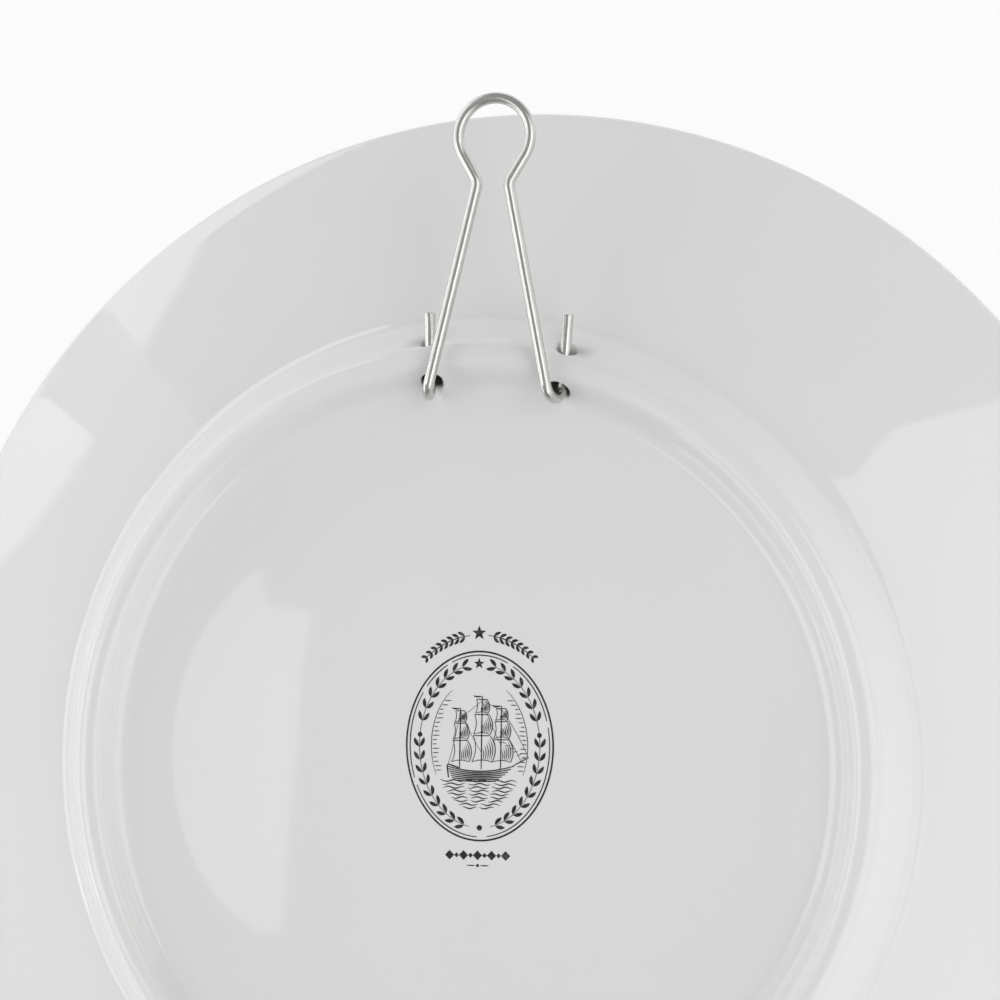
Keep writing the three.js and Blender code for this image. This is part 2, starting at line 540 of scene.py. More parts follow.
@dataclass(frozen=True)
class DrawnSteel:
    """Bright steel wire with the fine lengthwise lines that drawing leaves."""

    bright: Colour = (0.69, 0.685, 0.67)
    dull: Colour = (0.57, 0.565, 0.55)
    smooth_roughness: float = 0.15
    line_roughness: float = 0.12
    stain_roughness: float = 0.08
    line_scale: float = 9.0
    line_height: float = 0.006 * MM
    stain_scale: float = 210.0
    grain: str = "wire_grain"

    def sheet(self) -> Sheet:
        """Builds the finish, which reads the wire's own grain attribute.

        Returns:
            The sheet that dresses a piece with it.
        """
        sheet = Sheet("drawn steel wire")
        lines = sheet.noise(sheet.own(self.grain, "Vector"), self.line_scale, detail=4.0)
        stains = sheet.noise(sheet.place(), self.stain_scale, detail=3.0)
        dullness = (lines * 0.6 + stains * 0.4).above(0.5, softness=0.5)
        rough = lines * self.line_roughness + stains * self.stain_roughness
        sheet.relief(lines * self.line_height)
        sheet.set(
            base_color=sheet.blend(dullness, self.bright, self.dull),
            metallic=1.0,
            roughness=rough + self.smooth_roughness,
        )
        return sheet


@dataclass(frozen=True)
class FiredPrint:
    """Black ceramic ink, fired under the glaze."""

    ink: Colour = (0.018, 0.018, 0.019)
    thin_ink: Colour = (0.075, 0.074, 0.072)
    patch_scale: float = 900.0
    gloss_roughness: float = 0.1
    smear_scale: float = 400.0
    smear_roughness: float = 0.08
    refraction: float = 1.52

    def sheet(self) -> Sheet:
        """Builds the finish.

        Returns:
            The sheet that dresses a piece with it.
        """
        sheet = Sheet("black fired print")
        place = sheet.place()
        patches = sheet.noise(place, self.patch_scale, detail=3.0).above(0.58, softness=0.25)
        smears = sheet.noise(place, self.smear_scale)
        sheet.set(
            base_color=sheet.blend(patches, self.ink, self.thin_ink),
            roughness=smears * self.smear_roughness + self.gloss_roughness,
            ior=self.refraction,
        )
        return sheet


@dataclass(frozen=True)
class LitTable:
    """A white table top that glows a little, as a lit sheet of acrylic does."""

    white: Colour = (0.12, 0.12, 0.12)
    patchiness: float = 0.02
    glow: float = 0.86

    def sheet(self) -> Sheet:
        """Builds the finish.

        Returns:
            The sheet that dresses a piece with it.
        """
        sheet = Sheet("lit white table")
        patches = sheet.noise(sheet.place(), scale=3.0, detail=1.0).above(0.5, softness=1.0)
        shaded = tuple((1 - self.patchiness) * part for part in self.white)
        sheet.set(
            base_color=sheet.blend(patches, self.white, shaded),
            roughness=0.9,
            emission_color=(1.0, 1.0, 1.0, 1.0),
            emission_strength=self.glow,
        )
        return sheet


# ------------------------------------------------------------------------------------------
# The plate
# ------------------------------------------------------------------------------------------


@dataclass
class Plate:
    """The porcelain plate: a turned shell with a foot ring, drilled twice for the hanger."""

    radius: float = 135 * MM
    base_height: float = 26 * MM
    base_dome: float = 0.7 * MM
    base_dome_radius: float = 52 * MM
    base_thickness: float = 4.6 * MM
    fold_radius: float = 72.4 * MM
    fold_rise: float = 0.25 * MM
    fold_slope: float = math.radians(4.5)
    crest_rise: float = 6 * MM
    shoulder_radius: float = 4.2 * MM
    crest_radius: float = 80.2 * MM
    wall_draft: float = math.radians(34)
    root_fillet: float = 8 * MM
    flare_angle: float = math.radians(22.7)
    flare_thickness: float = 4.2 * MM
    nose_radius: float = 1.8 * MM
    contact_width: float = 1 * MM
    rise_start: Point2 = (1.4 * MM, 0.11 * MM)
    rise_knee: Point2 = (3 * MM, 1.2 * MM)
    rise_end: Point2 = (4.8 * MM, 2.5 * MM)
    crest_ease: float = 3 * MM
    front_lip: Point2 = (2 * MM, 0.6 * MM)
    front_flare_overlap: float = 2 * MM
    front_flare_ease: Point2 = (-6 * MM, 2.6 * MM)
    well_radius: float = 72 * MM
    well_ease: float = 4 * MM
    well_dome_share: float = 4 / 7
    hole_radius: float = 2.0 * MM
    hole_spacing: float = 27.5 * MM
    hole_middle: Point2 = (79.2 * MM, 28.5 * MM)
    hole_plan_angle: float = math.radians(6.5)
    hole_rise_angle: float = math.radians(3)
    hole_inward: float = 8.7 * MM
    hole_outward: float = 11.3 * MM
    dimple_place: Point3 = (2.4 * MM, 0.0, 4.4 * MM)
    dimple_spread: float = 2.8 * MM
    dimple_depth: float = 0.6 * MM
    # Where, how wide and how dark the painted shadow at each hole's outer mouth is.
    mouth_shadow_place: Point3 = (2.8 * MM, 0.3 * MM, 4.4 * MM)
    mouth_shadow_spread: float = 1.5 * MM
    mouth_shadow_strength: float = 0.42
    sectors: int = 320
    fineness: int = 11

    def height_on_dome(self, x: float, y: float) -> float:
        """The height of the base's low dome at a point of the plan."""
        share = math.hypot(x, y) / self.base_dome_radius
        return self.base_height + self.base_dome * (1 - share * share)

    def section(self) -> Line:
        """Draws the half section: from the axis along the back, round the rim, home in front.

        Returns:
            The line, in the plane of X and Z.
        """
        flare_normal = math.pi / 2 - self.flare_angle
        nose = Vector((self.radius - self.nose_radius, self.nose_radius))
        top = self.base_height + self.base_dome
        crest = self.base_height + self.crest_rise
        shoulder = Vector((self.crest_radius, crest - self.shoulder_radius))
        wall_point = spoke(shoulder, self.shoulder_radius + self.root_fillet, self.wall_draft)
        flare_point = spoke(nose, self.nose_radius + self.root_fillet, flare_normal)
        root = crossing(self.wall_draft, wall_point, flare_normal, flare_point)
        dome_end = Vector((self.base_dome_radius, self.base_height))
        dome_slope = math.atan(2 * self.base_dome / self.base_dome_radius)
        fold = Vector((self.fold_radius, self.base_height + self.fold_rise))
        hollow = crossing(math.pi / 2 - dome_slope, dome_end, math.pi / 2 + self.fold_slope, fold)

        def at(radius: float, height: float) -> Vector:
            """A point of the section."""
            return Vector((radius, 0.0, height))

        def past(start: Vector, step: Point2) -> Vector:
            """A point of the section, a step outwards and up from another one."""
            return at(start.x + step[0], start.y + step[1])

        line = Line(at(0.0, top), across=ALONG_X, along=ALONG_Z)
        line.bow(at(self.base_dome_radius / 2, top), at(*dome_end))
        line.bow(at(*hollow), at(*fold))
        line.bow(past(fold, self.rise_start), past(fold, self.rise_knee))
        line.curve(
            past(fold, self.rise_end),
            at(self.crest_radius - self.crest_ease, crest),
            at(self.crest_radius, crest),
        )
        line.arc(at(*shoulder), self.shoulder_radius, math.pi / 2, self.wall_draft)
        line.straight(at(*spoke(root, self.root_fillet, math.pi + self.wall_draft)))
        line.arc(at(*root), self.root_fillet, math.pi + self.wall_draft, math.pi + flare_normal)
        line.straight(at(*spoke(nose, self.nose_radius, flare_normal)))
        line.arc(at(*nose), self.nose_radius, flare_normal, -math.pi / 2)

        contact = nose.x - self.contact_width
        lip_width, lip_rise = self.front_lip
        flare_end = spoke(root, self.root_fillet + self.flare_thickness, math.pi + flare_normal)
        overlap = self.front_flare_overlap
        floor = self.base_height - self.base_thickness
        line.straight(at(contact, 0.0))
        line.bow(at(contact - lip_width / 2, 0.0), at(contact - lip_width, lip_rise))
        line.straight(past(flare_end, (overlap, -overlap * math.tan(self.flare_angle))))
        line.curve(
            past(flare_end, self.front_flare_ease),
            at(self.crest_radius - self.well_ease, floor),
            at(self.well_radius, floor),
        )
        line.straight(at(0.0, floor + self.base_dome * self.well_dome_share))
        return line

    def hole_axis(self, side: int) -> Matrix:
        """The place of a hole: its middle, with Z along the drill's way out of the foot ring.

        Args:
            side: -1 for the left hole and 1 for the right one.

        Returns:
            The matrix from the drill's own axes to the frame.
        """
        middle = Vector((side * self.hole_spacing / 2, *self.hole_middle))
        turn = Matrix.Rotation(-side * self.hole_plan_angle, 4, "Z")
        rise = Matrix.Rotation(self.hole_rise_angle - math.pi / 2, 4, "X")
        return Matrix.Translation(middle) @ turn @ rise

    def build(self) -> bpy.types.Object:
        """Turns the shell, drills it and softens the holes' edges.

        Returns:
            The plate's piece.
        """
        plate = self.section().to_mesh("porcelain_plate", self.fineness)
        with editing(plate, select_all=True):
            full_turn = 2 * math.pi
            bpy.ops.mesh.spin(steps=self.sectors, angle=full_turn, center=(0, 0, 0), axis=(0, 0, 1))
            bpy.ops.mesh.select_all(action="SELECT")
            bpy.ops.mesh.remove_doubles(threshold=0.002 * MM)
            bpy.ops.mesh.normals_make_consistent(inside=False)
        self._refine_around_holes(plate)
        for side in SIDES:
            self._drill(plate, side)
        self._soften_mouths(plate)
        self._press_dimples(plate)
        # Paints shade inside the holes and a shadow at each outer mouth.
        self._paint_hole_shade(plate)
        settle_in_mesh(plate)
        round_off(plate, math.radians(50))
        return plate

    def _near_hole(self, place: Vector, reach: float) -> bool:
        """Says whether a place lies within a reach of one of the holes' axes."""
        for side in SIDES:
            local = self.hole_axis(side).inverted() @ place
            if math.hypot(local.x, local.y) < reach and abs(local.z) < self.hole_outward:
                return True
        return False

    def _refine_around_holes(self, plate: bpy.types.Object) -> None:
        """Gives the foot ring smaller faces where it will be drilled."""
        reach = self.hole_radius + 2.2 * MM
        front, half_width = 65 * MM, 22 * MM

        def to_refine(co: Vector) -> bool:
            """Says whether a vertex is near enough to a hole."""
            return co.y > front and abs(co.x) < half_width and self._near_hole(co, reach)

        select_where(plate, to_refine)
        with editing(plate):
            bpy.ops.mesh.subdivide(number_cuts=3)

    def _drill(self, plate: bpy.types.Object, side: int) -> None:
        """Cuts one hole with a round bar that has short steps along its length."""
        sides, steps = 44, 40
        bpy.ops.object.select_all(action="DESELECT")
        bpy.ops.mesh.primitive_circle_add(vertices=sides, radius=self.hole_radius, fill_type="NGON")
        drill = newest("drill")
        step = (self.hole_inward + self.hole_outward) / steps
        with editing(drill, select_all=True):
            bpy.ops.transform.translate(value=(0, 0, -self.hole_inward))
            for _ in range(steps):
                bpy.ops.mesh.extrude_region_move(TRANSFORM_OT_translate={"value": (0, 0, step)})
            bpy.ops.mesh.select_all(action="SELECT")
            bpy.ops.mesh.normals_make_consistent(inside=False)
        drill.data.transform(self.hole_axis(side))
        apply_modifier(plate, "BOOLEAN", operation="DIFFERENCE", object=drill, solver="EXACT")
        bpy.data.objects.remove(drill)

    def _soften_mouths(self, plate: bpy.types.Object) -> None:
        """Rounds the holes' edges, as the glaze does when it melts over them."""
        reach = self.hole_radius + 0.9 * MM
        select_where(plate, lambda co: self._near_hole(co, reach))
        with editing(plate):
            bpy.ops.mesh.remove_doubles(threshold=0.04 * MM)
            bpy.ops.mesh.select_all(action="DESELECT")
            bpy.ops.mesh.edges_select_sharp(sharpness=math.radians(30))
            bpy.ops.mesh.select_more()
            bpy.ops.mesh.vertices_smooth(factor=0.5, repeat=6)
            bpy.ops.mesh.select_more()
            bpy.ops.mesh.vertices_smooth(factor=0.5, repeat=4)

    def _press_dimples(self, plate: bpy.types.Object) -> None:
        """Sinks the wall a little around each hole's outer mouth, where the drill broke through."""
        for side in SIDES:
            axis = self.hole_axis(side)
            out, height, depth = self.dimple_place
            mouth = axis @ Vector((side * out, height, depth))
            inward = -(axis.to_3x3() @ ALONG_Z)
            for vertex in plate.data.vertices:
                gap = (vertex.co - mouth).length / self.dimple_spread
                if gap < FADE_REACH:
                    vertex.co += inward * self.dimple_depth * math.exp(-gap * gap)

    def _paint_hole_shade(self, plate: bpy.types.Object) -> None:
        """Writes where painted shade darkens the glaze: deep in the holes, and as a painted shadow
        at each outer mouth.
        """
        mesh = plate.data
        shade_mask = mesh.attributes.new(PorcelainGlaze.shade_mask, "FLOAT", "POINT")
        depths = [0.0] * len(mesh.vertices)
        lip, slack = 0.35 * MM, 0.06 * MM
        middle, reach = -1.6 * MM, 3.4 * MM
        for side in SIDES:
            home = self.hole_axis(side).inverted()
            out, *rest = self.mouth_shadow_place
            mouth_shadow = Vector((side * out, *rest))
            for vertex in mesh.vertices:
                local = home @ vertex.co
                inside = (self.hole_radius + slack - math.hypot(local.x, local.y) + lip) / lip
                along = (reach + lip - abs(local.z - middle)) / lip
                depth = min(1.0, max(0.0, inside)) * min(1.0, max(0.0, along))
                # A painted shadow that fades out from each hole's outer mouth.
                gap = (local - mouth_shadow).length / self.mouth_shadow_spread
                if gap < FADE_REACH:
                    depth = max(depth, self.mouth_shadow_strength * math.exp(-gap * gap))
                depths[vertex.index] = max(depths[vertex.index], depth)
        shade_mask.data.foreach_set("value", depths)


# ------------------------------------------------------------------------------------------
# The wire hanger
# ------------------------------------------------------------------------------------------


@dataclass
class WireHanger:
    """One bent steel wire: two stubs, two bends, two legs and a loop."""

    wire_radius: float = 1.1 * MM
    bend_diameter: float = 6 * MM
    leg_foot_half_spacing: float = 11.9 * MM
    leg_splay: float = math.radians(12.7)
    loop_radius: float = 7.4 * MM
    loop_mouth_angle: float = math.radians(31)
    loop_centre_reach: float = 50.9 * MM
    neck_radius: float = 3 * MM
    stub_half_spacing: float = 13.95 * MM
    stub_splay: float = math.radians(2.5)
    stub_length: float = 10.1 * MM
    bend_tip_y: float = 72.8 * MM
    tilt: float = math.radians(4)
    lean: float = math.radians(2.3)
    sides: int = 32
    fineness: int = 22

    def line(self, hinge: Vector) -> Line:
        """Draws the wire's centre line, from the right stub round the loop to the left one.

        Args:
            hinge: The middle of the hinge axis.

        Returns:
            The line, in place.
        """
        tip = (self.bend_tip_y - hinge.y) / math.cos(self.tilt)
        foot = Vector((self.leg_foot_half_spacing, tip + self.bend_diameter / 2))
        centre = Vector((0.0, tip + self.loop_centre_reach))
        mouth = spoke(centre, self.loop_radius, -self.loop_mouth_angle)
        neck = crossing(
            self.leg_splay,
            spoke(foot, self.neck_radius, self.leg_splay),
            -self.loop_mouth_angle,
            spoke(mouth, self.neck_radius, -self.loop_mouth_angle),
        )
        leg_angle, mouth_angle = math.pi + self.leg_splay, math.pi - self.loop_mouth_angle
        leg_top = spoke(neck, self.neck_radius, leg_angle)
        neck_end = spoke(neck, self.neck_radius, mouth_angle)
        stub_way = Vector((math.sin(self.stub_splay), math.cos(self.stub_splay)))
        stub_foot = Vector((self.stub_half_spacing + foot.y * math.tan(self.stub_splay), foot.y))
        stub_end = Vector((self.stub_half_spacing, 0.0)) + stub_way * self.stub_length / stub_way.y
        leg_way = Vector((math.sin(self.leg_splay), -math.cos(self.leg_splay)))
        handle = self.bend_diameter * 2 / 3

        place = Matrix.Translation(hinge)
        place = place @ Matrix.Rotation(self.tilt, 4, "X") @ Matrix.Rotation(self.lean, 4, "Z")
        turn = place.to_3x3()

        def at(side: int, point: Vector, height: float = self.bend_diameter) -> Vector:
            """A point of the wire on one side, out of the hanger's own flat layout."""
            return place @ Vector((side * point.x, point.y, height))

        def bend(side: int) -> tuple[Vector, Vector, Vector]:
            """The bend on one side, from the end of the stub to the foot of the leg."""
            return (
                at(side, stub_foot - stub_way * handle, 0.0),
                at(side, foot + leg_way * handle),
                at(side, foot),
            )

        line = Line(at(1, stub_end, 0.0), across=turn @ ALONG_X, along=turn @ ALONG_Y)
        line.straight(at(1, stub_foot, 0.0))
        line.curve(*bend(1))
        line.straight(at(1, leg_top))
        line.arc(at(1, neck), self.neck_radius, leg_angle, mouth_angle)
        line.straight(at(1, mouth))
        line.arc(at(1, centre), self.loop_radius, -self.loop_mouth_angle, math.tau - mouth_angle)
        line.straight(at(-1, neck_end))
        line.arc(at(-1, neck), self.neck_radius, math.pi - mouth_angle, math.pi - leg_angle)
        line.straight(at(-1, foot))
        stub_handle, leg_handle, _ = bend(-1)
        line.curve(leg_handle, stub_handle, at(-1, stub_foot, 0.0))
        line.straight(at(-1, stub_end, 0.0))
        return line

    def build(self, hinge: Vector) -> bpy.types.Object:
        """Bends the wire and takes the burr off its cut ends.

        Args:
            hinge: The middle of the hinge axis.

        Returns:
            The wire's piece.
        """
        line = self.line(hinge)
        wire = line.to_mesh("hanger_wire", self.fineness, self.wire_radius, self.sides)
        self._mark_grain(wire)
        for end in (line.knots[0].place, line.knots[-1].place):
            self._finish_end(wire, end)
        with editing(wire, select_all=True):
            bpy.ops.mesh.normals_make_consistent(inside=False)
        settle_in_mesh(wire)
        round_off(wire)
        return wire

    def _mark_grain(self, wire: bpy.types.Object) -> None:
        """Writes where each point lies round and along the wire, for its drawn lines."""
        stretch = 55.0
        mesh = wire.data
        rings = len(mesh.vertices) // self.sides
        grain = mesh.attributes.new(DrawnSteel.grain, "FLOAT_VECTOR", "POINT")
        length = 0.0
        before = None
        for ring in range(rings):
            first = ring * self.sides
            middle = sum((mesh.vertices[first + side].co for side in range(self.sides)), Vector())
            middle /= self.sides
            length += (middle - before).length if before else 0.0
            before = middle
            for side in range(self.sides):
                turn = 2 * math.pi * side / self.sides
                grain.data[first + side].vector = (math.cos(turn), math.sin(turn), length * stretch)

    def _finish_end(self, wire: bpy.types.Object, end: Vector) -> None:
        """Closes a cut end and bevels its edge.

        Args:
            wire: The wire's piece, which is still open at this end.
            end: The middle of the cut.
        """
        burr = 0.16 * MM
        reach = 1.01 * self.wire_radius
        select_where(wire, lambda co: (co - end).length < reach)
        with editing(wire):
            bpy.ops.mesh.edge_face_add()
            bpy.ops.mesh.bevel(offset=burr, segments=3, affect="EDGES")


# ------------------------------------------------------------------------------------------
# The printed emblem
# ------------------------------------------------------------------------------------------


@dataclass
class Emblem:
    """A plain travel emblem on the base: a sailing ship in a double oval, with sprigs of leaves.

    It is drawn in its own upright axes, in millimetres from the middle of the oval, and then laid
    on the base's dome.
    """

    plate: Plate
    middle: Point2 = (2.9 * MM, 3.8 * MM)
    turn: float = math.radians(5.5)
    half_width: float = 15.2
    half_height: float = 18.6
    lift: float = 0.012 * MM
    ink_thickness: float = 0.02 * MM
    drawn: list[bpy.types.Object] = field(default_factory=list, init=False)

    def stroke(self, path: Path, width: float, steps: int, ends: float = 1.0) -> None:
        """Draws one flat stroke of ink.

        Args:
            path: Gives the stroke's middle line for a share from 0 to 1.
            width: Its width at its widest.
            steps: How many steps it has along its length.
            ends: 0 for an even stroke, and 1 for one whose width falls away towards both ends.
        """
        bpy.ops.mesh.primitive_grid_add(x_subdivisions=steps, y_subdivisions=1, size=1)
        ribbon = bpy.context.active_object
        narrowest, nudge, taper = 0.03, 0.002, 0.7
        for vertex in ribbon.data.vertices:
            share = vertex.co.x + 0.5
            x, y = path(share)
            ahead = Vector(path(share + nudge)) - Vector(path(share - nudge))
            ahead.normalize()
            swell = 1 - ends + ends * math.sin(math.pi * min(max(share, 0.0), 1.0)) ** taper
            reach = vertex.co.y * max(narrowest, width * swell)
            vertex.co = (x - ahead.y * reach, y + ahead.x * reach, 0.0)
        self.drawn.append(ribbon)

    def segment(
        self, start: Point2, stop: Point2, width: float, bow: float = 0.0, ends: float = 1.0
    ) -> None:
        """Draws a stroke between two points.

        Args:
            start: Its first point.
            stop: Its last point.
            width: Its width.
            bow: How far its middle stands out to the left, as a share of its length.
            ends: How much its ends fall away.
        """
        a, b = Vector(start), Vector(stop)
        left = Vector((a.y - b.y, b.x - a.x)) * bow * 4

        def path(share: float) -> Point2:
            """The point at a share of the stroke."""
            return tuple(a.lerp(b, share) + left * share * (1 - share))

        steps_per_mm = 2
        steps = max(4, round((b - a).length * steps_per_mm))
        self.stroke(path, width, steps, ends)

    def oval(
        self, half_width: float, half_height: float, start: float, stop: float, width: float,
        ends: float = 1.0,
    ) -> None:
        """Draws a stretch of an oval.

        Args:
            half_width: Half the oval's width; a negative one mirrors the stretch.
            half_height: Half its height.
            start: The angle that the stretch starts from, in degrees.
            stop: The angle that it ends at, in degrees.
            width: The stroke's width.
            ends: How much its ends fall away.
        """

        def path(share: float) -> Point2:
            """The point at a share of the stretch."""
            angle = math.radians(start + (stop - start) * share)
            return half_width * math.cos(angle), half_height * math.sin(angle)

        degrees_per_step = 2.5
        self.stroke(path, width, max(6, round(abs(stop - start) / degrees_per_step)), ends)

    def dot(self, x: float, y: float, radius: float, points: int = 12, pinch: float = 1.0) -> None:
        """Draws a dot, or a star when every second point is pinched towards the middle.

        Args:
            x: Its place across.
            y: Its place up.
            radius: Its radius.
            points: How many corners its outline has.
            pinch: How far out every second corner stands, as a share of the radius.
        """
        bpy.ops.mesh.primitive_circle_add(vertices=points, radius=radius, fill_type="TRIFAN")
        spot = bpy.context.active_object
        corner = 0
        for vertex in spot.data.vertices:
            if vertex.co.length > radius / 2:
                vertex.co *= pinch if corner % 2 else 1.0
                corner += 1
            vertex.co += Vector((x, y, 0.0))
        self.drawn.append(spot)

    def finish(self, name: str) -> bpy.types.Object:
        """Joins what is drawn, lays it on the base and gives it the thickness of ink.

        Args:
            name: The piece's name.

        Returns:
            The print's piece.
        """
        pick(*self.drawn)
        bpy.ops.object.join()
        print_piece = newest(name)
        self.drawn = []
        cosine, sine = math.cos(self.turn), math.sin(self.turn)
        for vertex in print_piece.data.vertices:
            across, up = vertex.co.x * MM, vertex.co.y * MM
            x = self.middle[0] + cosine * across - sine * up
            y = self.middle[1] + sine * across + cosine * up
            vertex.co = (x, y, self.plate.height_on_dome(x, y) + self.lift)
        apply_modifier(print_piece, "SOLIDIFY", thickness=self.ink_thickness, offset=1.0)
        with editing(print_piece, select_all=True):
            bpy.ops.mesh.normals_make_consistent(inside=False)
        return print_piece

    def frame(self) -> bpy.types.Object:
        """Draws the double oval, with the breaks that an old engraving has."""
        gap = 0.72
        self.oval(self.half_width, self.half_height, -90, 270, 0.36, ends=0.0)
        inner_width, inner_height = self.half_width - gap, self.half_height - gap
        for start, stop in ((-84, 12), (16, 61), (66, 113), (117, 139), (144, 201), (206, 268)):
            self.oval(inner_width, inner_height, start, stop, 0.24, ends=0.3)
        return self.finish("emblem_frame")

    def wreath(self) -> bpy.types.Object:
        """Draws two leafy branches that rise from the oval's foot, with a star and two dots."""
        across, up = 12.5, 16.1
        pairs, first_pair, step, berry = 17, -76, 9.3, 9
        leaf_length, leaf_width, leaf_angle = 2.3, 0.78, math.radians(27)
        stalk, bow = 0.25, 0.06
        for side in SIDES:
            self.oval(side * across, up, -80, 76, 0.13, ends=0.2)
            for index in range(pairs):
                angle = math.radians(first_pair + index * step)
                root = Vector((side * across * math.cos(angle), up * math.sin(angle)))
                if index == berry:
                    self.dot(side * across * math.cos(angle), up * math.sin(angle), 0.5)
                    continue
                way = Vector((-side * across * math.sin(angle), up * math.cos(angle))).normalized()
                for lean, bend in ((-leaf_angle, -bow), (leaf_angle, bow)):
                    turned = Matrix.Rotation(lean, 2) @ way
                    base = root + turned * stalk
                    tip = root + turned * leaf_length
                    self.segment(tuple(base), tuple(tip), leaf_width, bow=bend)
        self.dot(0.0, up + 0.1, 1.15, points=10, pinch=0.42)
        self.dot(0.0, -up, 0.55)
        return self.finish("emblem_wreath")

    def ship(self) -> bpy.types.Object:
        """Draws the sailing ship: hull, masts, sails and rigging."""
        for row in range(7):
            start, stop = -6.6 + 0.18 * row, 7.2 - 0.62 * row
            level = -5.0 - 0.33 * row
            sheer = 1.05 * (1 - row / 9)

            def path(
                share: float, start: float = start, stop: float = stop, level: float = level,
                sheer: float = sheer,
            ) -> Point2:
                """The point at a share of one line of the hull."""
                x = start + (stop - start) * share
                return x, level + sheer * (x / 7) ** 2

            self.stroke(path, 0.27, 22, ends=0.25)
        self.segment((-6.7, -3.7), (-6.4, -6.3), 0.3, ends=0.2)
        self.segment((-6.6, -3.6), (-4.2, -4.35), 0.3, ends=0.2)
        self.segment((6.9, -3.9), (10.2, -2.2), 0.26, ends=0.6)
        for foot, height, spread in ((-4.1, 7.4, 0.86), (0.4, 9.8, 1.0), (4.4, 7.9, 0.9)):
            self.segment((foot, -4.6), (foot + 0.25, height), 0.26, ends=0.35)
            self.segment((foot + 0.25, height), (foot - 1.7, height + 0.1), 0.34, bow=0.09)
            self._square_sails(foot, height, spread)
        for start, stop in (((10.1, -2.2), (4.6, 7.2)), ((8.6, -3.0), (4.55, 3.6))):
            self.segment(start, stop, 0.12, bow=-0.03, ends=0.2)
        for rung in range(6):
            outer = (9.6 - 0.8 * rung, -2.0 + 0.5 * rung)
            inner = (8.5 - 0.8 * rung, -2.6 + 0.7 * rung)
            self.segment(outer, inner, 0.16)
        ropes = (
            ((-6.5, -3.7), (-4.0, 6.6)),
            ((-3.9, 6.8), (0.4, -1.2)),
            ((0.6, 9.0), (4.4, 0.4)),
            ((-3.9, 5.6), (0.5, 8.8)),
            ((0.7, 9.1), (4.6, 7.0)),
        )
        for start, stop in ropes:
            self.segment(start, stop, 0.09, bow=-0.02, ends=0.0)
        return self.finish("emblem_ship")

    def _square_sails(self, foot: float, height: float, spread: float) -> None:
        """Draws the three sails of one mast, filled by the wind and shaded with short lines."""
        deck = -3.2
        room = height - deck
        rows = ((0.0, 0.40, 2.1), (0.42, 0.72, 1.75), (0.74, 0.95, 1.3))
        for low, high, half in rows:
            bottom, top = deck + room * low, deck + room * high
            wide, narrow = half * spread, half * spread * 0.84
            middle = foot + 0.15
            self.segment((middle - narrow, top), (middle + narrow, top), 0.2, ends=0.2)
            self.segment((middle - wide, bottom), (middle + wide, bottom), 0.16, bow=0.1, ends=0.3)
            self.segment((middle - wide, bottom), (middle - narrow, top), 0.16, bow=-0.12, ends=0.2)
            self.segment((middle + wide, bottom), (middle + narrow, top), 0.2, bow=-0.16, ends=0.2)
            lines = 6
            for index in range(lines):
                share = (index + 0.7) / (lines + 4)
                x_low = middle + wide - 2 * wide * share
                x_high = middle + narrow - 2 * narrow * share
                reach = 0.92 - 0.1 * index
                top_end = (x_high + (x_low - x_high) * (1 - reach), bottom + (top - bottom) * reach)
                self.segment((x_low, bottom + 0.32), top_end, 0.2, bow=-0.13)

    def sea(self) -> bpy.types.Object:
        """Draws the waves under the hull and the short lines of sky beside the sails."""
        edge_width, edge_height = 10.0, 13.2
        for row in range(9):
            level = -6.9 - 0.66 * row
            reach = edge_width * math.sqrt(max(0.0, 1 - (level / edge_height) ** 2)) - 0.3
            shift = 1.3 * (row % 3)
            pieces = 3 if reach > 5 else 2
            for piece in range(pieces):
                start = -reach + 2 * reach * piece / pieces + 0.25 * (row % 2)
                stop = start + 2 * reach / pieces - 0.5

                def path(
                    share: float, start: float = start, stop: float = stop, level: float = level,
                    shift: float = shift,
                ) -> Point2:
                    """The point at a share of one wave."""
                    x = start + (stop - start) * share
                    return x, level + 0.17 * math.sin(2.1 * x + shift)

                self.stroke(path, 0.26, 18, ends=0.8)
        for side in SIDES:
            self.oval(side * edge_width, edge_height, -26, 56, 0.15, ends=0.5)
            for row in range(17):
                level = -4.9 + 0.86 * row
                edge = edge_width * math.sqrt(1 - (level / edge_height) ** 2)
                depth = 1.35 + 0.35 * math.sin(1.7 * row)
                start, stop = (side * (edge - 0.2), level), (side * (edge - depth), level + 0.05)
                self.segment(start, stop, 0.19, ends=0.6)
        return self.finish("emblem_sea")

    def garland(self) -> bpy.types.Object:
        """Draws the two sprigs that arch over the oval and meet at a star."""
        across, up = 18.3, 21.9
        leaf_angle, bow = math.radians(38), 0.08
        self.dot(0.0, up + 0.35, 1.5, points=10, pinch=0.42)
        for side in SIDES:
            self.oval(side * across, up, 52, 84, 0.22, ends=0.5)
            for index in range(8):
                angle = math.radians(80.5 - index * 3.9)
                root = Vector((side * across * math.cos(angle), up * math.sin(angle)))
                way = Vector((side * across * math.sin(angle), -up * math.cos(angle))).normalized()
                size = 1.75 - 0.07 * index
                for lean, bend in ((-leaf_angle, -bow), (leaf_angle, bow)):
                    tip = root + Matrix.Rotation(lean, 2) @ way * size
                    self.segment(tuple(root), tuple(tip), 0.62, bow=bend)
        return self.finish("emblem_garland")

    def rule(self) -> bpy.types.Object:
        """Draws the row of lozenges and the short rule under the oval."""
        middle, row, foot = -0.4, -21.5, -23.5
        for index in range(-4, 5):
            size = 0.95 if index % 2 == 0 else 0.5
            self.dot(1.45 * index + middle, row, size, points=4)
        for side in SIDES:
            self.segment((middle + side * 0.5, foot), (middle + side * 2.3, foot), 0.24, ends=0.7)
        self.dot(middle, foot, 0.32, points=8)
        return self.finish("emblem_rule")

    def build(self) -> list[bpy.types.Object]:
        """Draws every part of the emblem.

        Returns:
            The prints, one piece for each part.
        """
        return [self.frame(), self.wreath(), self.ship(), self.sea(), self.garland(), self.rule()]


# ------------------------------------------------------------------------------------------
# The studio
# ------------------------------------------------------------------------------------------


